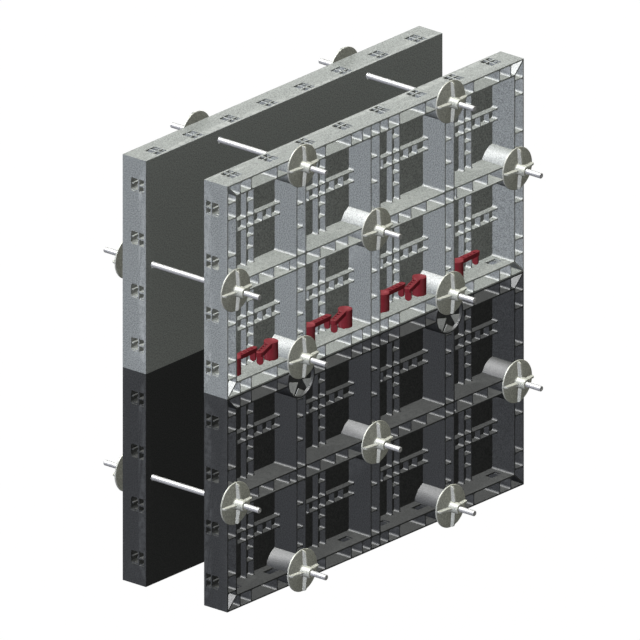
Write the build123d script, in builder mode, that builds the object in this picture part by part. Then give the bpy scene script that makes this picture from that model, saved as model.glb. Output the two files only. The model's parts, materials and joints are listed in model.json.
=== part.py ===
from build123d import *
import os

os.makedirs("parts", exist_ok=True)

# Straight wall formwork of four moulded panels, tied through a 200 mm wall
panel_w = 1200.0
panel_h = 600.0
panel_t = 80.0
sheet_t = 5.0
wall_t = 4.0
web_t = 3.0
wall_gap = 200.0
face_y = wall_gap / 2
rib_y = face_y + panel_t
half_w = panel_w / 2
half_h = panel_h / 2

# Ribs of a panel
ring_inset = 37.0
pair_x = panel_w / 4
pair_half = 18.0
web_depth = 67.0
low_rib_h = 18.0
low_half = 15.0

# Ties
tie_inset = 30.0
tie_x = panel_w / 4
tie_hole_r = 9.0
boss_r = 55.0
boss_sides = 16
boss_well = 72.0
rod_r = 7.5
rod_len = 532.0
thread_play = 0.3

# Plate nuts
plate_r = 59.0
plate_rim_t = 5.0
plate_sides = 16
hub_r = 15.0
nut_h = 38.0
vane_t = 6.0
vane_h = 30.0
vane_r = 57.0

# Key holes and keys
key_pitch = panel_w / 8
end_pitch = panel_h / 4
key_depth = 39.0
slot_l = 39.0
slot_d = 24.0
duct_half = 22.5
key_play = 0.4
collar_r = 19.0
pin_r = 10.5
arm_len = 85.0
arm_w = 18.0
arm_t = 12.0
arm_z = 37.0
tab_drop = 25.0
tab_t = 5.0
head_t = 10.0
head_play = 0.5

# Heights above the ground, standing on the lowest plates
base_z = plate_r - tie_inset
joint_z = base_z + panel_h
ledge_z = joint_z + ring_inset + wall_t / 2

ring_w = panel_w - 2 * ring_inset
ring_h = panel_h - 2 * ring_inset
edge_x = half_w - tie_inset
edge_z = half_h - tie_inset
ties = [(0, 0), (-edge_x, 0), (edge_x, 0)]
ties += [(-tie_x, edge_z), (tie_x, edge_z), (-tie_x, -edge_z), (tie_x, -edge_z)]
key_x = [key_pitch * (i - 3.5) for i in range(8)]
key_z = [end_pitch * (i - 1.5) for i in range(4)]
lane_z = half_h - (ring_inset + wall_t) / 2 - 0.5 * (wall_t / 2)
lane_x = half_w - (ring_inset + wall_t) / 2 - 0.5 * (wall_t / 2)
lane_w = ring_inset - wall_t / 2
mid_webs = [102, 153, 215, 338, 402, 463]
side_webs = [90, 156, 208]
centre_webs = [126, 198]

# Bays between the walls: the outer and inner columns by width, and one height for both rows
edge_in = ring_inset + wall_t / 2
pair_out = pair_half + wall_t / 2
outer_bay = half_w - edge_in - pair_x - pair_out
inner_bay = pair_x - 2 * pair_out
tall_bay = half_h - edge_in - pair_out
outer_x = pair_x + pair_out + outer_bay / 2
bays = [(-outer_x, outer_bay), (-pair_x / 2, inner_bay), (pair_x / 2, inner_bay), (outer_x, outer_bay)]
bay_z = pair_out + tall_bay / 2

# One moulded panel, concrete face on the XZ plane and ribs towards -Y
with BuildPart() as panel:
    with BuildSketch(Plane.XZ):
        Rectangle(panel_w, panel_h)
    extrude(amount=sheet_t)
    # full depth walls, corner webs and tie bosses
    with BuildSketch(Plane.XZ.offset(sheet_t)):
        Rectangle(ring_w + wall_t, ring_h + wall_t)
        Rectangle(ring_w - wall_t, ring_h - wall_t, mode=Mode.SUBTRACT)
        with Locations(*[(c + s * pair_half, 0) for c in (-pair_x, 0, pair_x) for s in (-1, 1)]):
            Rectangle(wall_t, panel_h - wall_t)
        with Locations((0, pair_half), (0, -pair_half)):
            Rectangle(panel_w - wall_t, wall_t)
        corner = ring_inset / 2 + 1
        with Locations((half_w - corner, half_h - corner), (corner - half_w, corner - half_h)):
            Rectangle(ring_inset * 1.3, wall_t, rotation=45)
        with Locations((half_w - corner, corner - half_h), (corner - half_w, half_h - corner)):
            Rectangle(ring_inset * 1.3, wall_t, rotation=-45)
        with Locations(*ties):
            RegularPolygon(boss_r, boss_sides)
        with Locations(*ties):
            Rectangle(boss_well, boss_well, mode=Mode.SUBTRACT)
        flanks_x = [x + s * duct_half for x in key_x for s in (-1, 1)]
        flanks_x = [x for x in flanks_x if abs(abs(x) - tie_x) > boss_r]
        with Locations(*[(x, s * lane_z) for x in flanks_x for s in (-1, 1)]):
            Rectangle(web_t, lane_w)
        flanks_z = [z + s * duct_half for z in key_z for s in (-1, 1)]
        flanks_z = [z for z in flanks_z if abs(z) > boss_r]
        with Locations(*[(s * lane_x, z) for z in flanks_z for s in (-1, 1)]):
            Rectangle(lane_w, web_t)
        Rectangle(panel_w, panel_h, mode=Mode.INTERSECT)
        with Locations((0, half_h - wall_t / 2), (0, wall_t / 2 - half_h)):
            Rectangle(panel_w, wall_t)
        with Locations((half_w - wall_t / 2, 0), (wall_t / 2 - half_w, 0)):
            Rectangle(wall_t, panel_h)
    extrude(amount=panel_t - sheet_t)
    # thinner webs across the channels, a little shorter than the walls
    with BuildSketch(Plane.XZ.offset(sheet_t)):
        with Locations(*[(s * x, 0) for x in mid_webs for s in (-1, 1)]):
            Rectangle(web_t, 2 * pair_half)
        with Locations(*[(c, s * z) for c in (-pair_x, pair_x) for z in side_webs for s in (-1, 1)]):
            Rectangle(2 * pair_half, web_t)
        with Locations(*[(0, s * z) for z in centre_webs for s in (-1, 1)]):
            Rectangle(2 * pair_half, web_t)
    extrude(amount=web_depth)
    # low stiffening ribs on the sheet, a crossing pair in every bay
    with BuildSketch(Plane.XZ.offset(sheet_t)):
        with Locations(*[(x + s * low_half, r * bay_z) for x, w in bays for r in (-1, 1) for s in (-1, 1)]):
            Rectangle(web_t, tall_bay + wall_t)
        for x, bay_w in bays:
            with Locations(*[(x, r * bay_z + s * low_half) for r in (-1, 1) for s in (-1, 1)]):
                Rectangle(bay_w + wall_t, web_t)
    extrude(amount=low_rib_h)
    # tie holes
    with BuildSketch(Plane.XZ):
        with Locations(*ties):
            RegularPolygon(tie_hole_r, 6, major_radius=False)
    extrude(amount=panel_t, mode=Mode.SUBTRACT)
    # key slots: through both walls of the lower edge, then the top edge and the two ends
    with BuildSketch(Plane.XY.offset(-half_h)):
        with Locations(*[(x, -key_depth) for x in key_x]):
            Rectangle(slot_l, slot_d)
    extrude(amount=ring_inset + wall_t, mode=Mode.SUBTRACT)
    with BuildSketch(Plane.XY.offset(half_h - wall_t)):
        with Locations(*[(x, -key_depth) for x in key_x]):
            Rectangle(slot_l, slot_d)
    extrude(amount=wall_t, mode=Mode.SUBTRACT)
    with BuildSketch(Plane.YZ.offset(-half_w)):
        with Locations(*[(-key_depth, z) for z in key_z]):
            Rectangle(slot_d, slot_l)
    extrude(amount=wall_t, mode=Mode.SUBTRACT)
    with BuildSketch(Plane.YZ.offset(half_w - wall_t)):
        with Locations(*[(-key_depth, z) for z in key_z]):
            Rectangle(slot_d, slot_l)
    extrude(amount=wall_t, mode=Mode.SUBTRACT)

# The same moulding four times, the rear pair turned round
for name, z in (("lower", base_z + half_h), ("upper", joint_z + half_h)):
    front = panel.part.moved(Location((0, -face_y, z)))
    front.label = "front_" + name + "_panel"
    export_step(front, "parts/front_" + name + "_panel.step")
    rear = panel.part.moved(Location((0, face_y, z), (0, 0, 180)))
    rear.label = "rear_" + name + "_panel"
    export_step(rear, "parts/rear_" + name + "_panel.step")

# Ties in use, by level
upper_ties = [(x, joint_z + half_h + z) for x, z in ties]
lower_ties = [(x, base_z + half_h + z) for x, z in ties if z <= 0]

for level, spots in (("upper", upper_ties), ("lower", lower_ties)):
    # Rods right through the wall, proud of the nuts at both ends
    with BuildPart() as rods:
        with BuildSketch(Plane.XZ.offset(-rod_len / 2)):
            with Locations(*spots):
                RegularPolygon(rod_r, 12)
        extrude(amount=rod_len)
    rods.part.label = level + "_tie_rods"
    export_step(rods.part, "parts/" + level + "_tie_rods.step")

    # Plate nuts bearing on the bosses of the front wall
    with BuildPart() as nuts:
        with BuildSketch(Plane.XZ.offset(rib_y)):
            with Locations(*spots):
                RegularPolygon(plate_r, plate_sides)
        extrude(amount=plate_rim_t)
        with BuildSketch(Plane.XZ.offset(rib_y)):
            with Locations(*spots):
                RegularPolygon(hub_r, 8)
        extrude(amount=nut_h)
        with BuildSketch(Plane.XZ.offset(rib_y)):
            with Locations(*spots):
                Rectangle(2 * vane_r, vane_t)
            with Locations(*spots):
                Rectangle(vane_t, 2 * vane_r)
        extrude(amount=vane_h)
        with BuildSketch(Plane.XZ.offset(rib_y)):
            with Locations(*spots):
                RegularPolygon(rod_r + thread_play, 6, major_radius=False)
        extrude(amount=nut_h, mode=Mode.SUBTRACT)
    nuts.part.label = "front_" + level + "_plate_nuts"
    export_step(nuts.part, "parts/front_" + level + "_plate_nuts.step")
    back = nuts.part.moved(Location((0, 0, 0), (0, 0, 180)))
    back.label = "rear_" + level + "_plate_nuts"
    export_step(back, "parts/rear_" + level + "_plate_nuts.step")

# A key: collar on the ledge, arm above, pin and cross head below
with BuildPart() as key:
    with BuildSketch(Plane.XY.offset(key_play)):
        RegularPolygon(collar_r, 12)
    extrude(amount=arm_z + arm_t - key_play)
    with BuildSketch(Plane.XY.offset(arm_z)):
        with Locations((arm_len / 2, 0)):
            Rectangle(arm_len, arm_w)
        with Locations((arm_len, 0)):
            RegularPolygon(arm_w / 2, 8, major_radius=False)
    extrude(amount=arm_t)
    with BuildSketch(Plane.XY.offset(key_play)):
        RegularPolygon(pin_r, 8)
    extrude(amount=-(key_play + ring_inset + wall_t / 2 + wall_t + head_play))
    with BuildSketch(Plane.XY.offset(-(ring_inset + wall_t / 2 + wall_t + head_play))):
        Polygon((5, -19), (10, -14), (10, 14), (5, 19), (-5, 19), (-10, 14), (-10, -14), (-5, -19), align=None)
    extrude(amount=-head_t)
    with BuildSketch(Plane.YZ.offset(arm_len - tab_t)):
        with Locations((0, arm_z - (tab_drop - arm_w / 2) / 2)):
            Rectangle(arm_w, tab_drop - arm_w / 2)
        with Locations((0, arm_z - tab_drop + arm_w / 2)):
            RegularPolygon(arm_w / 2, 8, major_radius=False)
    extrude(amount=tab_t)
    # triangular pockets in the top of the arm
    with BuildSketch(Plane.XY.offset(arm_z + arm_t)):
        for x in (24, 39, 54, 69):
            Polygon((x, -6), (x + 12, -6), (x + 6, 5), align=None)
    extrude(amount=-6, mode=Mode.SUBTRACT)

# Seven keys on each wall; in a bay the left arm points right and the right arm left
key_angles = [3, 200, 3, 200, 3, 200, 3]
for i, angle in enumerate(key_angles):
    x = key_x[i]
    y = -(face_y + key_depth)
    one = key.part.moved(Location((x, y, ledge_z), (0, 0, angle)))
    one.label = "front_key_" + str(i + 1)
    export_step(one, "parts/front_key_" + str(i + 1) + ".step")
    two = key.part.moved(Location((-x, -y, ledge_z), (0, 0, angle + 180)))
    two.label = "rear_key_" + str(i + 1)
    export_step(two, "parts/rear_key_" + str(i + 1) + ".step")
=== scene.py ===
# Straight wall formwork: four moulded panels, tie rods, plate nuts and turning keys
import json
import math

import bmesh
import bpy
from mathutils import Matrix, Vector


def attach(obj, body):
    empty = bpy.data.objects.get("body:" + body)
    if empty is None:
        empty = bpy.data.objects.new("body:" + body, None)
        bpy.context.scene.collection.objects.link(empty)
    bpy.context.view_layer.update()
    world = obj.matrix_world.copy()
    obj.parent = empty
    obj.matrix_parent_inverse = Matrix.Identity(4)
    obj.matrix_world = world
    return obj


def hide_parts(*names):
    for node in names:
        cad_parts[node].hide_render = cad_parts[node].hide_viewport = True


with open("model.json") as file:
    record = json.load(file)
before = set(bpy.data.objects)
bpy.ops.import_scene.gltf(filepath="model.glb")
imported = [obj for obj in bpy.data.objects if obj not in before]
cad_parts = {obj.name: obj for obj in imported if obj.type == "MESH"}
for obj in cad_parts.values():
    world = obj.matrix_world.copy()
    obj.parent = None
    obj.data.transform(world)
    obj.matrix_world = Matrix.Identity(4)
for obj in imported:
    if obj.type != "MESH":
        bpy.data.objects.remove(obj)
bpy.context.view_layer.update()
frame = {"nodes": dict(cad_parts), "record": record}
nodes = frame["nodes"]
print("formwork solids loaded:", len(nodes))


# small helpers for node trees: a value is either a number or another node's socket
def feed(tree, socket, value):
    if isinstance(value, bpy.types.NodeSocket):
        tree.links.new(value, socket)
    else:
        socket.default_value = value


def mathNode(tree, operation, a, b):
    node = tree.nodes.new("ShaderNodeMath")
    node.operation = operation
    feed(tree, node.inputs[0], a)
    feed(tree, node.inputs[1], b)
    return node.outputs["Value"]


def mixNumber(tree, factor, a, b):
    node = tree.nodes.new("ShaderNodeMix")
    node.data_type = "FLOAT"
    for label, value in (("Factor", factor), ("A", a), ("B", b)):
        feed(tree, node.inputs[label], value)
    return node.outputs["Result"]


def mixColour(tree, factor, a, b):
    node = tree.nodes.new("ShaderNodeMix")
    node.data_type = "RGBA"
    feed(tree, node.inputs["Factor"], factor)
    # 6, 7 and 2 are the node's colour sockets A, B and Result
    for socket, value in ((node.inputs[6], a), (node.inputs[7], b)):
        feed(tree, socket, (*value, 1) if isinstance(value, tuple) else value)
    return node.outputs[2]


def noiseNode(tree, coords, scale, detail, roughness):
    node = tree.nodes.new("ShaderNodeTexNoise")
    for label, value in (
        ("Vector", coords), ("Scale", scale), ("Detail", detail), ("Roughness", roughness),
    ):
        feed(tree, node.inputs[label], value)
    return node.outputs["Fac"]


def rampNode(tree, value, low, high):
    node = tree.nodes.new("ShaderNodeMapRange")
    node.clamp = True
    for label, number in (("Value", value), ("From Min", low), ("From Max", high)):
        feed(tree, node.inputs[label], number)
    return node.outputs["Result"]


# small helpers for objects
def newObject(name, bm):
    mesh = bpy.data.meshes.new(name)
    bm.to_mesh(mesh)
    bm.free()
    thing = bpy.data.objects.new(name, mesh)
    bpy.context.scene.collection.objects.link(thing)
    return thing


def aim(thing, direction):
    thing.rotation_euler = (-Vector(direction)).to_track_quat("-Z", "Y").to_euler()


# camera, level with the photo's parallel view
viewSet = {
    "toCamera": (-0.7087, -0.6023, 0.3676),
    "centre": (-0.1511, -0.1172, 0.7022),
    "width": 1.6771,
    "distance": 6.0,
    "reach": 40,
}


def makeCamera(s):
    data = bpy.data.cameras.new("photoCamera")
    data.type = "ORTHO"
    data.ortho_scale = s["width"]
    data.clip_end = s["reach"]
    cam = bpy.data.objects.new("photoCamera", data)
    bpy.context.scene.collection.objects.link(cam)
    out = Vector(s["toCamera"]).normalized()
    cam.location = Vector(s["centre"]) + out * s["distance"]
    aim(cam, out)
    bpy.context.scene.camera = cam


# lamps from above and from the left, weaker fills for the front and rear, and a gloss-only sheen
lampSet = {
    "overhead": {
        "toLamp": (0.00, 0.00, 1.00), "tint": (1.00, 0.99, 0.87),
        "strength": 2.35, "angle": 10, "shadow": False, "matt": True,
    },
    "leftSide": {
        "toLamp": (-0.87, 0.00, 0.50), "tint": (0.885, 0.905, 1.00),
        "strength": 2.85, "angle": 10, "shadow": False, "matt": True,
    },
    "frontFill": {
        "toLamp": (0.00, -1.00, 0.05), "tint": (1.00, 1.00, 0.94),
        "strength": 0.56, "angle": 40, "shadow": False, "matt": True,
    },
    "rearFill": {
        "toLamp": (0.55, 0.80, 0.10), "tint": (1.00, 1.00, 1.00),
        "strength": 1.00, "angle": 60, "shadow": True, "matt": True,
    },
    "sheen": {
        "toLamp": (-0.30, 0.60, 0.75), "tint": (1.00, 1.00, 1.00),
        "strength": 8.00, "angle": 24, "shadow": False, "matt": False,
    },
}
worldSet = {"ambient": 0.08, "seen": 1.0, "gloss": 0.12}
floorSet = {
    "halfSize": 30.0, "colour": (0.90, 0.90, 0.90), "bounce": (0.06, 0.06, 0.06),
    "lift": 0.98, "roughness": 0.9,
}


def makeLamps(lamps):
    for name, s in lamps.items():
        data = bpy.data.lights.new(name, "SUN")
        data.energy = s["strength"]
        data.angle = math.radians(s["angle"])
        data.color = s["tint"]
        data.use_shadow = s["shadow"]
        # each lamp lights only what it reaches, so recesses stay as dark as in the photo
        data.cycles.max_bounces = 0
        lamp = bpy.data.objects.new(name, data)
        # the sheen only marks rounded edges, as the photo's highlights do
        lamp.visible_diffuse = s["matt"]
        aim(lamp, s["toLamp"])
        bpy.context.scene.collection.objects.link(lamp)


def makeWorld(s):
    world = bpy.data.worlds.new("studio")
    bpy.context.scene.world = world
    world.use_nodes = True
    tree = world.node_tree
    tree.nodes.clear()
    path = tree.nodes.new("ShaderNodeLightPath")
    seen = mixNumber(tree, path.outputs["Is Camera Ray"], s["ambient"], s["seen"])
    gloss = mixNumber(tree, path.outputs["Is Glossy Ray"], seen, s["gloss"])
    back = tree.nodes.new("ShaderNodeBackground")
    out = tree.nodes.new("ShaderNodeOutputWorld")
    tree.links.new(gloss, back.inputs["Strength"])
    tree.links.new(back.outputs["Background"], out.inputs["Surface"])


def makeFloor(s):
    bm = bmesh.new()
    bmesh.ops.create_grid(bm, x_segments=2, y_segments=2, size=s["halfSize"])
    floor = newObject("studioFloor", bm)
    mat = bpy.data.materials.new("paleFloor")
    mat.use_nodes = True
    tree = mat.node_tree
    shader = tree.nodes["Principled BSDF"]
    shader.inputs["Roughness"].default_value = s["roughness"]
    # the camera sees a pale floor that nearly glows, while the object gets little light from it
    camera = tree.nodes.new("ShaderNodeLightPath").outputs["Is Camera Ray"]
    tone = mixColour(tree, camera, s["bounce"], s["colour"])
    tree.links.new(tone, shader.inputs["Base Color"])
    glow = tree.nodes.new("ShaderNodeEmission")
    mix = tree.nodes.new("ShaderNodeMixShader")
    tree.links.new(mathNode(tree, "MULTIPLY", camera, s["lift"]), mix.inputs["Fac"])
    tree.links.new(shader.outputs["BSDF"], mix.inputs[1])
    tree.links.new(glow.outputs["Emission"], mix.inputs[2])
    tree.links.new(mix.outputs["Shader"], tree.nodes["Material Output"].inputs["Surface"])
    floor.data.materials.append(mat)


bpy.context.scene.view_settings.view_transform = "Standard"
makeCamera(viewSet)
makeLamps(lampSet)
makeWorld(worldSet)
makeFloor(floorSet)
print("camera, lamps and floor are set")


# effects that the finishes share
grainSet = {
    "fineDetail": 3.0, "fineRough": 0.7, "cloudDetail": 4.0, "cloudRough": 0.55,
    "pitScale": 1.6, "pitDepth": 0.6,
}
wearSet = {"detail": 5.0, "rough": 0.6, "breakLow": 0.35, "breakHigh": 0.6}
scuffSet = {"stretch": 3.5, "detail": 8.0, "rough": 0.65, "soft": 0.16}


def newGroup(name, inputs, outputs):
    group = bpy.data.node_groups.new(name, "ShaderNodeTree")
    for label, value in inputs.items():
        socket = group.interface.new_socket(label, in_out="INPUT", socket_type="NodeSocketFloat")
        socket.default_value = value
    for label in outputs:
        group.interface.new_socket(label, in_out="OUTPUT", socket_type="NodeSocketFloat")
    given = group.nodes.new("NodeGroupInput")
    made = group.nodes.new("NodeGroupOutput")
    coords = group.nodes.new("ShaderNodeTexCoord").outputs["Object"]
    return group, given.outputs, made.inputs, coords


def makeMouldGrain(s):
    # fine speckle of a moulded skin, with slow cloudiness from the melt
    group, given, made, coords = newGroup(
        "mouldGrain", {"Grain Scale": 420.0, "Cloud Scale": 2.6}, ("Height", "Speckle", "Cloud"),
    )
    fine = noiseNode(group, coords, given["Grain Scale"], s["fineDetail"], s["fineRough"])
    cloud = noiseNode(group, coords, given["Cloud Scale"], s["cloudDetail"], s["cloudRough"])
    pits = group.nodes.new("ShaderNodeTexVoronoi")
    group.links.new(coords, pits.inputs["Vector"])
    pitScale = mathNode(group, "MULTIPLY", given["Grain Scale"], s["pitScale"])
    group.links.new(pitScale, pits.inputs["Scale"])
    pitted = mathNode(group, "MULTIPLY", pits.outputs["Distance"], s["pitDepth"])
    group.links.new(mathNode(group, "ADD", fine, pitted), made["Height"])
    group.links.new(fine, made["Speckle"])
    group.links.new(cloud, made["Cloud"])
    return group


def makeEdgeWear(s):
    # handled corners go paler where the surface is convex, broken up by noise
    group, given, made, coords = newGroup(
        "edgeWear", {"Start": 0.53, "End": 0.62, "Breakup": 60.0}, ("Wear",),
    )
    point = group.nodes.new("ShaderNodeNewGeometry").outputs["Pointiness"]
    convex = rampNode(group, point, given["Start"], given["End"])
    noise = noiseNode(group, coords, given["Breakup"], s["detail"], s["rough"])
    broken = rampNode(group, noise, s["breakLow"], s["breakHigh"])
    group.links.new(mathNode(group, "MULTIPLY", convex, broken), made["Wear"])
    return group


def makeScuffs(s):
    # streaks and dull patches left by handling and dried slurry
    group, given, made, coords = newGroup(
        "siteScuffs", {"Streak Scale": 22.0, "Cover": 0.64}, ("Scuff",),
    )
    stretch = group.nodes.new("ShaderNodeMapping")
    stretch.inputs["Scale"].default_value = (1.0, 1.0, s["stretch"])
    group.links.new(coords, stretch.inputs["Vector"])
    streak = noiseNode(
        group, stretch.outputs["Vector"], given["Streak Scale"], s["detail"], s["rough"],
    )
    full = mathNode(group, "ADD", given["Cover"], s["soft"])
    group.links.new(rampNode(group, streak, given["Cover"], full), made["Scuff"])
    return group


grainGroup = makeMouldGrain(grainSet)
wearGroup = makeEdgeWear(wearSet)
scuffGroup = makeScuffs(scuffSet)


# finishes
finishSet = {
    "light_grey_plastic": {
        "colour": (0.315, 0.335, 0.325), "worn": (0.60, 0.62, 0.60), "scuffed": (0.36, 0.37, 0.36),
        "roughness": 0.50, "metal": 0.0, "grain": 300.0, "bump": 0.14,
        "speckle": 0.44, "wear": 0.45, "scuff": 0.02,
    },
    "dark_grey_plastic": {
        "colour": (0.036, 0.038, 0.039), "worn": (0.12, 0.125, 0.125),
        "scuffed": (0.060, 0.062, 0.060),
        "roughness": 0.56, "metal": 0.0, "grain": 300.0, "bump": 0.14,
        "speckle": 0.58, "wear": 0.45, "scuff": 0.02,
    },
    "red_plastic": {
        "colour": (0.215, 0.015, 0.024), "worn": (0.46, 0.10, 0.12),
        "scuffed": (0.24, 0.025, 0.035),
        "roughness": 0.48, "metal": 0.0, "grain": 420.0, "bump": 0.06,
        "speckle": 0.20, "wear": 0.60, "scuff": 0.20,
    },
    "rod_steel": {
        "colour": (0.52, 0.52, 0.52), "worn": (0.50, 0.50, 0.51), "scuffed": (0.47, 0.47, 0.46),
        "roughness": 0.46, "metal": 0.20, "grain": 300.0, "bump": 0.03,
        "speckle": 0.05, "wear": 0.30, "scuff": 0.25,
    },
    "nut_plastic": {
        "colour": (0.52, 0.53, 0.47), "worn": (0.76, 0.76, 0.73), "scuffed": (0.50, 0.50, 0.45),
        "roughness": 0.46, "metal": 0.05, "grain": 320.0, "bump": 0.10,
        "speckle": 0.30, "wear": 0.70, "scuff": 0.20,
    },
    "plug_plastic": {
        "colour": (0.46, 0.48, 0.47), "worn": (0.66, 0.67, 0.66), "scuffed": (0.42, 0.43, 0.42),
        "roughness": 0.52, "metal": 0.0, "grain": 300.0, "bump": 0.10,
        "speckle": 0.24, "wear": 0.50, "scuff": 0.25,
    },
}
skinSet = {
    "speckleLow": 0.38, "speckleHigh": 0.62, "cloudShade": 0.18, "cloudRough": 0.16,
    "scuffRough": 0.12, "bumpDepth": 0.0006,
}


def placeGroup(tree, group, **values):
    node = tree.nodes.new("ShaderNodeGroup")
    node.node_tree = group
    for label, value in values.items():
        node.inputs[label.replace("_", " ")].default_value = value
    return node.outputs


def makeFinish(name, s, skin):
    mat = bpy.data.materials.new(name)
    mat.use_nodes = True
    tree = mat.node_tree
    shader = tree.nodes["Principled BSDF"]
    shader.inputs["Metallic"].default_value = s["metal"]
    grain = placeGroup(tree, grainGroup, Grain_Scale=s["grain"])
    wear = placeGroup(tree, wearGroup)["Wear"]
    scuff = placeGroup(tree, scuffGroup)["Scuff"]
    # dark and pale specks round the colour, clouds of the dark one, then scuffs and worn edges
    dark = tuple(c * (1 - s["speckle"]) for c in s["colour"])
    pale = tuple(min(1, c * (1 + s["speckle"])) for c in s["colour"])
    specks = rampNode(tree, grain["Speckle"], skin["speckleLow"], skin["speckleHigh"])
    base = mixColour(tree, specks, dark, pale)
    shade = mathNode(tree, "MULTIPLY", grain["Cloud"], skin["cloudShade"])
    base = mixColour(tree, shade, base, dark)
    base = mixColour(tree, mathNode(tree, "MULTIPLY", scuff, s["scuff"]), base, s["scuffed"])
    base = mixColour(tree, mathNode(tree, "MULTIPLY", wear, s["wear"]), base, s["worn"])
    tree.links.new(base, shader.inputs["Base Color"])
    # the clouds swing the roughness evenly round its own value
    rough = mathNode(tree, "MULTIPLY", grain["Cloud"], skin["cloudRough"])
    rough = mathNode(tree, "ADD", rough, s["roughness"] - skin["cloudRough"] / 2)
    dull = mathNode(tree, "MULTIPLY", scuff, skin["scuffRough"])
    tree.links.new(mathNode(tree, "ADD", rough, dull), shader.inputs["Roughness"])
    bump = tree.nodes.new("ShaderNodeBump")
    bump.inputs["Strength"].default_value = s["bump"]
    bump.inputs["Distance"].default_value = skin["bumpDepth"]
    tree.links.new(grain["Height"], bump.inputs["Height"])
    tree.links.new(bump.outputs["Normal"], shader.inputs["Normal"])
    return mat


finishes = {name: makeFinish(name, s, skinSet) for name, s in finishSet.items()}
print("finishes made:", ", ".join(finishes))


# the panels' own measures, in metres
panelSet = {
    "width": 1.2, "height": 0.6, "depth": 0.08, "sheet": 0.005, "wallFace": 0.1,
    "bases": {"lower": 0.029, "upper": 0.629},
    "keyPitch": 0.15, "keyDepth": 0.039, "topKeys": 8, "endKeys": 4,
    "ties": [
        (0, 0.3), (-0.57, 0.3), (0.57, 0.3), (-0.3, 0.57), (0.3, 0.57), (-0.3, 0.03), (0.3, 0.03),
    ],
    "topTies": 0.5,
    "bayX": (-0.4405, -0.15, 0.15, 0.4405), "bayZ": (0.1595, 0.4405),
}
keyEnd = (panelSet["topKeys"] - 1) / 2
keyX = [panelSet["keyPitch"] * (i - keyEnd) for i in range(panelSet["topKeys"])]
keyZ = [panelSet["keyPitch"] * (i + 0.5) for i in range(panelSet["endKeys"])]
endX = (-panelSet["width"] / 2, panelSet["width"] / 2)
ribSide = panelSet["wallFace"] + panelSet["depth"]  # the open side of the ribs, where the nuts sit
# every boss of an upper panel carries a rod, and the top ones of a lower panel are open
lowBase, highBase = panelSet["bases"]["lower"], panelSet["bases"]["upper"]
tieLevels = {
    "upper": [(x, highBase + z) for x, z in panelSet["ties"]],
    "lower": [(x, lowBase + z) for x, z in panelSet["ties"] if z < panelSet["topTies"]],
}
openBosses = [(x, lowBase + z) for x, z in panelSet["ties"] if z > panelSet["topTies"]]
slotOf = {part["node"]: part["material_slot"] for part in frame["record"]["subparts"]}
edgeSet = {
    "panel": {"radius": 0.0012, "segments": 2},
    "key": {"radius": 0.0012, "segments": 3},
    "nut": {"radius": 0.0009, "segments": 2},
    "rib": {"radius": 0.0013, "segments": 3},
}
sharpAngle = math.radians(35)
weldSet = {"solid": 0.00002, "spun": 0.00001}


def wallSide(name):
    return -1 if name.startswith("front") else 1


def levelOf(name):
    return "lower" if "lower" in name else "upper"


def baseOf(name):
    return panelSet["bases"][levelOf(name)]


def addBox(bm, centre, size):
    made = bmesh.ops.create_cube(bm, size=1.0)
    bmesh.ops.scale(bm, verts=made["verts"], vec=size)
    bmesh.ops.translate(bm, verts=made["verts"], vec=centre)
    return made["verts"]


def addPart(bm, part):
    placed = bpy.data.meshes.new("placedPart")
    part.to_mesh(placed)
    part.free()
    bm.from_mesh(placed)
    bpy.data.meshes.remove(placed)


def moveTo(bm, verts, spot, turned=False):
    if turned:
        half = Matrix.Rotation(math.pi, 3, "Z")
        bmesh.ops.rotate(bm, verts=verts, cent=(0, 0, 0), matrix=half)
    bmesh.ops.translate(bm, verts=verts, vec=spot)


def smoothFaces(piece):
    piece.data.polygons.foreach_set("use_smooth", [True] * len(piece.data.polygons))
    piece.data.set_sharp_from_angle(angle=sharpAngle)


def roundEdges(piece, s):
    smoothFaces(piece)
    edge = piece.modifiers.new("roundedEdges", "BEVEL")
    edge.width = s["radius"]
    edge.segments = s["segments"]
    edge.limit_method = "ANGLE"
    edge.angle_limit = sharpAngle
    edge.use_clamp_overlap = True
    level = piece.modifiers.new("flatFaces", "WEIGHTED_NORMAL")
    level.mode = "FACE_AREA"
    level.weight = 100
    level.keep_sharp = False


def finishPiece(name, bm, finish, body, edge=None):
    piece = newObject(name, bm)
    piece.data.materials.append(finishes[finish])
    if edge:
        roundEdges(piece, edgeSet[edge])
    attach(piece, body)
    return piece


def mergedCopy(name):
    bm = bmesh.new()
    bm.from_mesh(nodes[name].data)
    bmesh.ops.remove_doubles(bm, verts=bm.verts[:], dist=weldSet["solid"])
    return bm


# panels: the solid's own shape with the face side cells of each key hole and the cups cut in
cellSet = {"along": 0.0175, "deep": 0.0155, "gap": 0.004, "from": 0.0075, "through": 0.03}
cupSet = {"radius": 0.0505, "deep": 0.0095, "topWall": 0.0045, "floorThick": 0.0015, "steps": 48}


def addDisc(bm, spot, thick, s):
    # a disc that faces out of the wall, cut off level below the panel's top wall
    disc = bmesh.new()
    bmesh.ops.create_cone(
        disc, cap_ends=True, cap_tris=False, segments=s["steps"],
        radius1=s["radius"], radius2=s["radius"], depth=thick,
        matrix=Matrix.Translation(spot) @ Matrix.Rotation(math.pi / 2, 4, "X"),
    )
    top = lowBase + panelSet["height"] - s["topWall"]
    cut = bmesh.ops.bisect_plane(
        disc, geom=disc.verts[:] + disc.edges[:] + disc.faces[:],
        plane_co=(0, 0, top), plane_no=(0, 0, 1), clear_outer=True,
    )
    rim = [g for g in cut["geom_cut"] if isinstance(g, bmesh.types.BMEdge)]
    bmesh.ops.edgeloop_fill(disc, edges=rim)
    bmesh.ops.recalc_face_normals(disc, faces=disc.faces[:])
    addPart(bm, disc)


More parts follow.
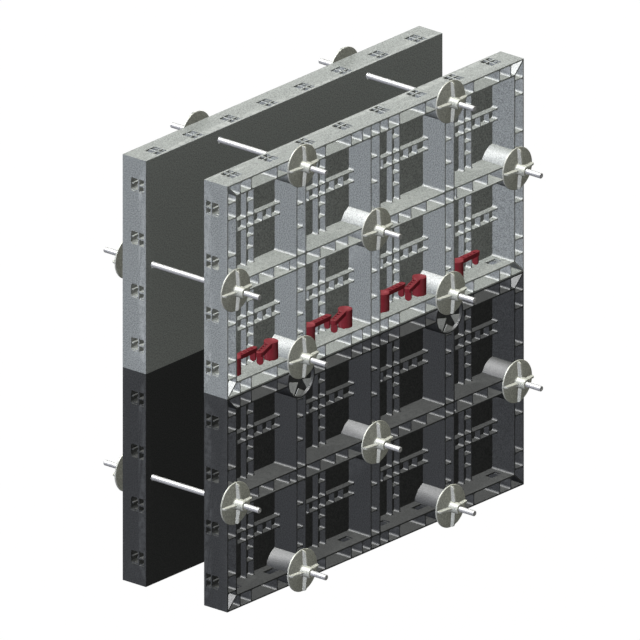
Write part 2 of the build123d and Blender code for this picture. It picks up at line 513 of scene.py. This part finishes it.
def cellCutter(name, s):
    side = wallSide(name)
    base = baseOf(name)
    y = side * (panelSet["wallFace"] + s["from"] + s["deep"] / 2)
    step = (s["along"] + s["gap"]) / 2
    bm = bmesh.new()
    for x in keyX:
        for z in (base, base + panelSet["height"]):
            for k in (-1, 1):
                addBox(bm, (x + k * step, y, z), (s["along"], s["deep"], s["through"]))
    for z in keyZ:
        for x in endX:
            for k in (-1, 1):
                addBox(bm, (x, y, base + z + k * step), (s["through"], s["deep"], s["along"]))
    if levelOf(name) == "lower":
        for x, z in openBosses:
            addDisc(bm, (x, side * ribSide, z), 2 * cupSet["deep"], cupSet)
    return newObject("cellCutter", bm)


def makePanel(name):
    raw = newObject("rawPanel", mergedCopy(name))
    cutter = cellCutter(name, cellSet)
    cut = raw.modifiers.new("cells", "BOOLEAN")
    cut.operation = "DIFFERENCE"
    cut.solver = "EXACT"
    cut.object = cutter
    bpy.context.view_layer.update()
    graph = bpy.context.evaluated_depsgraph_get()
    done = bpy.data.meshes.new_from_object(raw.evaluated_get(graph))
    bm = bmesh.new()
    bm.from_mesh(done)
    bpy.data.meshes.remove(done)
    for old in (raw, cutter):
        bpy.data.objects.remove(old)
    piece = finishPiece(name + "_moulded", bm, slotOf[name], "formwork", "panel")
    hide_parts(name)


# short rungs between the low ribs, and the divider in each open slot of the upper panels
ribSet = {
    "height": 0.018, "thick": 0.003, "half": 0.015, "sink": 0.0005, "lap": 0.001,
    "acrossRungs": (-0.087, -0.051, 0.051, 0.087), "uprightRungs": (-0.077, -0.043, 0.057),
    "dividerThick": 0.0035, "dividerWide": 0.0245, "dividerDeep": 0.012, "dividerDrop": 0.55,
}


def makeRibs(name, s):
    side = wallSide(name)
    base = baseOf(name)
    y = side * (panelSet["wallFace"] + panelSet["sheet"] + s["height"] / 2 - s["sink"])
    span = 2 * s["half"] - s["thick"] + s["lap"]
    bm = bmesh.new()
    for x in panelSet["bayX"]:
        for z in panelSet["bayZ"]:
            for d in s["acrossRungs"]:
                addBox(bm, (x - side * d, y, base + z), (s["thick"], s["height"], span))
            for d in s["uprightRungs"]:
                addBox(bm, (x, y, base + z + d), (span, s["height"], s["thick"]))
    if levelOf(name) == "upper":
        slotY = side * (panelSet["wallFace"] + panelSet["keyDepth"])
        middle = base + panelSet["height"] - s["dividerDeep"] * s["dividerDrop"]
        size = (s["dividerThick"], s["dividerWide"], s["dividerDeep"])
        for x in keyX:
            addBox(bm, (x, slotY, middle), size)
    finishPiece(name + "_rungs", bm, slotOf[name], "formwork", "rib")


# the moulding's fillets, in the inner corners that run through a panel's depth
filletSet = {
    "radius": 0.0050, "rungRadius": 0.0035, "rungReach": 0.95, "sink": 0.0003, "arcSteps": 4,
    "headDeep": 0.030, "headHalf": 0.036, "shortest": 0.004, "parallel": 0.999, "square": 0.01,
}


def innerCorners(name, s):
    bm = mergedCopy(name)
    corners = []
    for edge in bm.edges:
        if len(edge.link_faces) != 2 or edge.is_convex or edge.calc_length() < s["shortest"]:
            continue
        start, end = (v.co.copy() for v in edge.verts)
        one, two = (f.normal.copy() for f in edge.link_faces)
        # the turning cross heads below the joint need square corners round them
        atHeads = levelOf(name) == "lower" and start.z > highBase - s["headDeep"]
        if atHeads and min(abs(start.x - x) for x in keyX) < s["headHalf"]:
            continue
        deep = abs((end - start).normalized().y) > s["parallel"]
        level = min(max(abs(c) for c in one), max(abs(c) for c in two)) > s["parallel"]
        if deep and level and abs(one.dot(two)) < s["square"]:
            corners.append((start, end, one, two))
    bm.free()
    return corners


def addFillets(bm, corners, radius, s):
    # bars that fill the corners between two walls, which face along one and two
    runs = {}
    for start, end, one, two in corners:
        outline = [-(one + two) * s["sink"], one * radius - two * s["sink"]]
        for i in range(s["arcSteps"] + 1):
            a = math.pi / 2 * i / s["arcSteps"]
            outline.append((one * (1 - math.sin(a)) + two * (1 - math.cos(a))) * radius)
        outline.append(two * radius - one * s["sink"])
        face = bm.faces.new([bm.verts.new(start + p) for p in outline])
        runs.setdefault(tuple(round(c, 7) for c in end - start), []).append(face)
    # bars of one length are drawn out together
    for run, faces in runs.items():
        made = bmesh.ops.extrude_face_region(bm, geom=faces)
        far = [g for g in made["geom"] if isinstance(g, bmesh.types.BMVert)]
        bmesh.ops.translate(bm, verts=far, vec=run)


def rungCorners(name, s):
    side = wallSide(name)
    low = side * (panelSet["wallFace"] + panelSet["sheet"])
    high = low + side * ribSet["height"] * s["rungReach"]
    half = (2 * ribSet["half"] - ribSet["thick"]) / 2
    bays = [(x, baseOf(name) + z) for x in panelSet["bayX"] for z in panelSet["bayZ"]]
    corners = []
    for x, z in bays:
        for a in (-1, 1):
            for b in (-1, 1):
                for d in ribSet["acrossRungs"]:
                    px, pz = x - side * d + a * ribSet["thick"] / 2, z + b * half
                    corners.append((px, pz, Vector((a, 0, 0)), Vector((0, 0, -b))))
                for d in ribSet["uprightRungs"]:
                    px, pz = x + a * half, z + d + b * ribSet["thick"] / 2
                    corners.append((px, pz, Vector((-a, 0, 0)), Vector((0, 0, b))))
    return [(Vector((x, low, z)), Vector((x, high, z)), one, two) for x, z, one, two in corners]


def makeFillets(name, s):
    bm = bmesh.new()
    addFillets(bm, innerCorners(name, s), s["radius"], s)
    addFillets(bm, rungCorners(name, s), s["rungRadius"], s)
    bmesh.ops.recalc_face_normals(bm, faces=bm.faces[:])
    piece = finishPiece(name + "_fillets", bm, slotOf[name], "formwork")
    smoothFaces(piece)
    print(name, "fillet faces:", len(piece.data.polygons))


# sleeves behind the holes in a panel's ends, with each plate as (near, far) from the wall face
# and (low, high) from the hole's middle, and the floors of the cups
sleeveSet = {
    "start": 0.0035, "depth": 0.0250, "corner": 0.0070, "inset": 0.0002,
    "slot": (0.027, 0.051), "halfSlot": 0.0195,
    "plates": [
        (0.0060, 0.0075, -0.0210, 0.0210), (0.0230, 0.0270, -0.0210, 0.0210),
        (0.0510, 0.0525, -0.0210, 0.0210), (0.0060, 0.0525, 0.0195, 0.0210),
        (0.0060, 0.0525, -0.0210, -0.0195), (0.0075, 0.0230, -0.0020, 0.0020),
        (0.0270, 0.0330, -0.0015, 0.0015), (0.0450, 0.0510, -0.0015, 0.0015),
    ],
}


def addSleeve(bm, x, z, side, s):
    inward = 1 if x < 0 else -1
    for near, far, low, high in s["plates"]:
        centre = (
            x + inward * (s["start"] + s["depth"] / 2),
            side * (panelSet["wallFace"] + (near + far) / 2),
            z + (low + high) / 2,
        )
        addBox(bm, centre, (s["depth"], far - near, high - low))
    through = Vector((inward * (s["start"] + s["depth"]), 0, 0))
    mouthX = x + inward * s["inset"]
    corners = []
    for facing, y in zip((1, -1), s["slot"]):
        for b in (-1, 1):
            spot = Vector((mouthX, side * (panelSet["wallFace"] + y), z - b * s["halfSlot"]))
            one, two = Vector((0, side * facing, 0)), Vector((0, 0, b))
            corners.append((spot, spot + through, one, two))
    addFillets(bm, corners, s["corner"], filletSet)


def makeSleeves(name, s):
    side = wallSide(name)
    bm = bmesh.new()
    for x in endX:
        for z in keyZ:
            addSleeve(bm, x, baseOf(name) + z, side, s)
    if levelOf(name) == "lower":
        floorY = side * (ribSide - cupSet["deep"] - cupSet["floorThick"] / 2)
        for x, z in openBosses:
            addDisc(bm, (x, floorY, z), cupSet["floorThick"], cupSet)
    bmesh.ops.recalc_face_normals(bm, faces=bm.faces[:])
    smoothFaces(finishPiece(name + "_sleeves", bm, slotOf[name], "formwork"))


panelNames = [n for n in sorted(nodes) if n.endswith("_panel")]
for name in panelNames:
    makePanel(name)
    makeRibs(name, ribSet)
    makeSleeves(name, sleeveSet)
    makeFillets(name, filletSet)
print("panels done:", len(panelNames))


# plate nuts: a dished plate, a hub and four vanes, wound on each end of a rod
nutSet = {
    "plate": 0.059, "rim": 0.0045, "rise": 0.0070, "hub": 0.0152, "height": 0.038, "bore": 0.0078,
    "footEase": 0.0008, "ease": 0.001, "hubEase": 0.0015, "rootWide": 0.006, "rootTall": 0.003,
    "steps": 48,
}
vaneSet = {
    "thick": 0.0050, "inner": 0.0205, "outer": 0.0150, "reach": 0.0565, "sink": 0.002,
    "middle": 0.0055, "tall": 0.009, "tip": 0.03, "cornerRadius": 0.007, "cornerSteps": 4,
}
rodSet = {"radius": 0.0075, "length": 0.532, "chamfer": 0.001, "core": 0.0006, "steps": 24}


def spinProfile(bm, profile, steps):
    # profile points are radius and distance along Y
    verts = [bm.verts.new((r, y, 0)) for r, y in profile]
    edges = [bm.edges.new((verts[i], verts[(i + 1) % len(verts)])) for i in range(len(verts))]
    bmesh.ops.spin(
        bm, geom=verts + edges, cent=(0, 0, 0), axis=(0, 1, 0), dvec=(0, 0, 0),
        angle=math.tau, steps=steps, use_merge=True, use_duplicate=False,
    )


def addVane(bm, turn, s):
    inner = nutSet["hub"] - s["sink"]
    centre = ((inner + s["reach"]) / 2, s["middle"], 0)
    verts = addBox(bm, centre, (s["reach"] - inner, s["tall"], s["thick"]))
    # the upper edge falls from the hub to the tip, and its outer corner is rounded
    for v in verts:
        if v.co.y > s["middle"]:
            v.co.y = s["outer"] if v.co.x > s["tip"] else s["inner"]
    outer = [v for v in verts if v.co.x > s["tip"] and v.co.y > s["middle"]]
    corner = [e for e in bm.edges if e.verts[0] in outer and e.verts[1] in outer]
    made = bmesh.ops.bevel(
        bm, geom=corner, offset=s["cornerRadius"], offset_type="OFFSET",
        segments=s["cornerSteps"], profile=0.5, affect="EDGES", material=-1,
    )
    vane = set(v for v in verts if v.is_valid) | set(made["verts"])
    quarter = Matrix.Rotation(math.pi / 2 * turn, 3, "Y")
    bmesh.ops.rotate(bm, verts=list(vane), cent=(0, 0, 0), matrix=quarter)


def makeNutMesh(s):
    ease, hubEase = s["ease"], s["hubEase"]
    bm = bmesh.new()
    profile = [
        (s["bore"], 0), (s["plate"] - s["footEase"], 0), (s["plate"], s["footEase"]),
        (s["plate"], s["rim"] - ease), (s["plate"] - ease, s["rim"]),
        (s["hub"] + s["rootWide"], s["rise"]), (s["hub"] + hubEase, s["rise"] + ease),
        (s["hub"], s["rise"] + s["rootTall"]), (s["hub"], s["height"] - hubEase),
        (s["hub"] - hubEase, s["height"]), (s["bore"] + ease, s["height"]),
        (s["bore"], s["height"] - ease),
    ]
    spinProfile(bm, profile, s["steps"])
    for turn in range(4):
        addVane(bm, turn, vaneSet)
    bmesh.ops.remove_doubles(bm, verts=bm.verts[:], dist=weldSet["spun"])
    bmesh.ops.recalc_face_normals(bm, faces=bm.faces[:])
    mesh = bpy.data.meshes.new("plateNut")
    bm.to_mesh(mesh)
    bm.free()
    return mesh


def makeNuts(name, nutMesh):
    side = wallSide(name)
    bm = bmesh.new()
    for x, z in tieLevels[levelOf(name)]:
        nut = bmesh.new()
        nut.from_mesh(nutMesh)
        moveTo(nut, nut.verts[:], (x, side * ribSide, z), turned=side < 0)
        addPart(bm, nut)
    piece = finishPiece(name + "_cast", bm, slotOf[name], "formwork", "nut")
    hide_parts(name)


def makeRods(name, s):
    half = s["length"] / 2
    endRadius = s["radius"] - s["chamfer"]
    profile = [
        (s["core"], -half), (endRadius, -half), (s["radius"], -half + s["chamfer"]),
        (s["radius"], half - s["chamfer"]), (endRadius, half), (s["core"], half),
    ]
    bm = bmesh.new()
    for x, z in tieLevels[levelOf(name)]:
        before = set(bm.verts)
        spinProfile(bm, profile, s["steps"])
        moveTo(bm, [v for v in bm.verts if v not in before], (x, 0, z))
    bmesh.ops.remove_doubles(bm, verts=bm.verts[:], dist=weldSet["spun"])
    bmesh.ops.recalc_face_normals(bm, faces=bm.faces[:])
    piece = finishPiece(name + "_drawn", bm, slotOf[name], "formwork")
    smoothFaces(piece)
    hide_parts(name)


nutMesh = makeNutMesh(nutSet)
for name in sorted(nodes):
    if name.endswith("_plate_nuts"):
        makeNuts(name, nutMesh)
    if name.endswith("_tie_rods"):
        makeRods(name, rodSet)
print("ties done")


# keys: the solid's arm, pin and head, with a truly round collar
collarSet = {"radius": 0.0191, "foot": 0.6684, "top": 0.7172, "steps": 40}


def makeKey(name, s):
    number = int(name.split("_")[-1]) - 1
    side = wallSide(name)
    x = -side * keyX[number]
    y = side * (panelSet["wallFace"] + panelSet["keyDepth"])
    bm = mergedCopy(name)
    bmesh.ops.create_cone(
        bm, cap_ends=True, cap_tris=False, segments=s["steps"],
        radius1=s["radius"], radius2=s["radius"], depth=s["top"] - s["foot"],
        matrix=Matrix.Translation((x, y, (s["top"] + s["foot"]) / 2)),
    )
    piece = finishPiece(name + "_moulded", bm, slotOf[name], name, "key")
    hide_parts(name)


keyNames = [n for n in sorted(nodes) if "_key_" in n]
for name in keyNames:
    makeKey(name, collarSet)
print("keys done:", len(keyNames))


# pale flaps in the cup of each boss that carries no rod, drawn as the front wall has them
flapSet = {
    "rimRadius": 0.0490, "thick": 0.0006, "depth": 0.0062, "arcSteps": 10,
    "flaps": [
        {"inner": (-0.009, -0.010), "arc": (181, 239), "lean": (-0.10, 0.05)},
        {"inner": (0.015, -0.010), "arc": (309, 343), "lean": (-0.10, 0.05)},
        {"inner": (-0.004, -0.029), "arc": (249, 296), "lean": (0.0, 0.03)},
    ],
}


def addFlap(bm, spot, side, flap, s):
    start, end = (math.radians(a) for a in flap["arc"])
    outline = [flap["inner"]]
    for i in range(s["arcSteps"] + 1):
        a = start + (end - start) * i / s["arcSteps"]
        outline.append((s["rimRadius"] * math.cos(a), s["rimRadius"] * math.sin(a)))
    midX = sum(p[0] for p in outline) / len(outline)
    midZ = sum(p[1] for p in outline) / len(outline)
    mouth = s["depth"] - ribSide
    before = set(bm.verts)
    verts = []
    for x, z in outline:
        y = mouth + flap["lean"][0] * (x - midX) + flap["lean"][1] * (z - midZ)
        verts.append(bm.verts.new((x, y, z)))
    made = bmesh.ops.extrude_face_region(bm, geom=[bm.faces.new(verts)])
    back = [g for g in made["geom"] if isinstance(g, bmesh.types.BMVert)]
    bmesh.ops.translate(bm, verts=back, vec=(0, s["thick"], 0))
    moveTo(bm, [v for v in bm.verts if v not in before], spot, turned=side > 0)


def makeFlaps(side, s):
    bm = bmesh.new()
    for x, z in openBosses:
        for flap in s["flaps"]:
            addFlap(bm, (x, 0, z), side, flap, s)
    bmesh.ops.recalc_face_normals(bm, faces=bm.faces[:])
    finishPiece(("front" if side < 0 else "rear") + "_boss_flaps", bm, "plug_plastic", "formwork")


for side in (-1, 1):
    makeFlaps(side, flapSet)
print("flaps done")
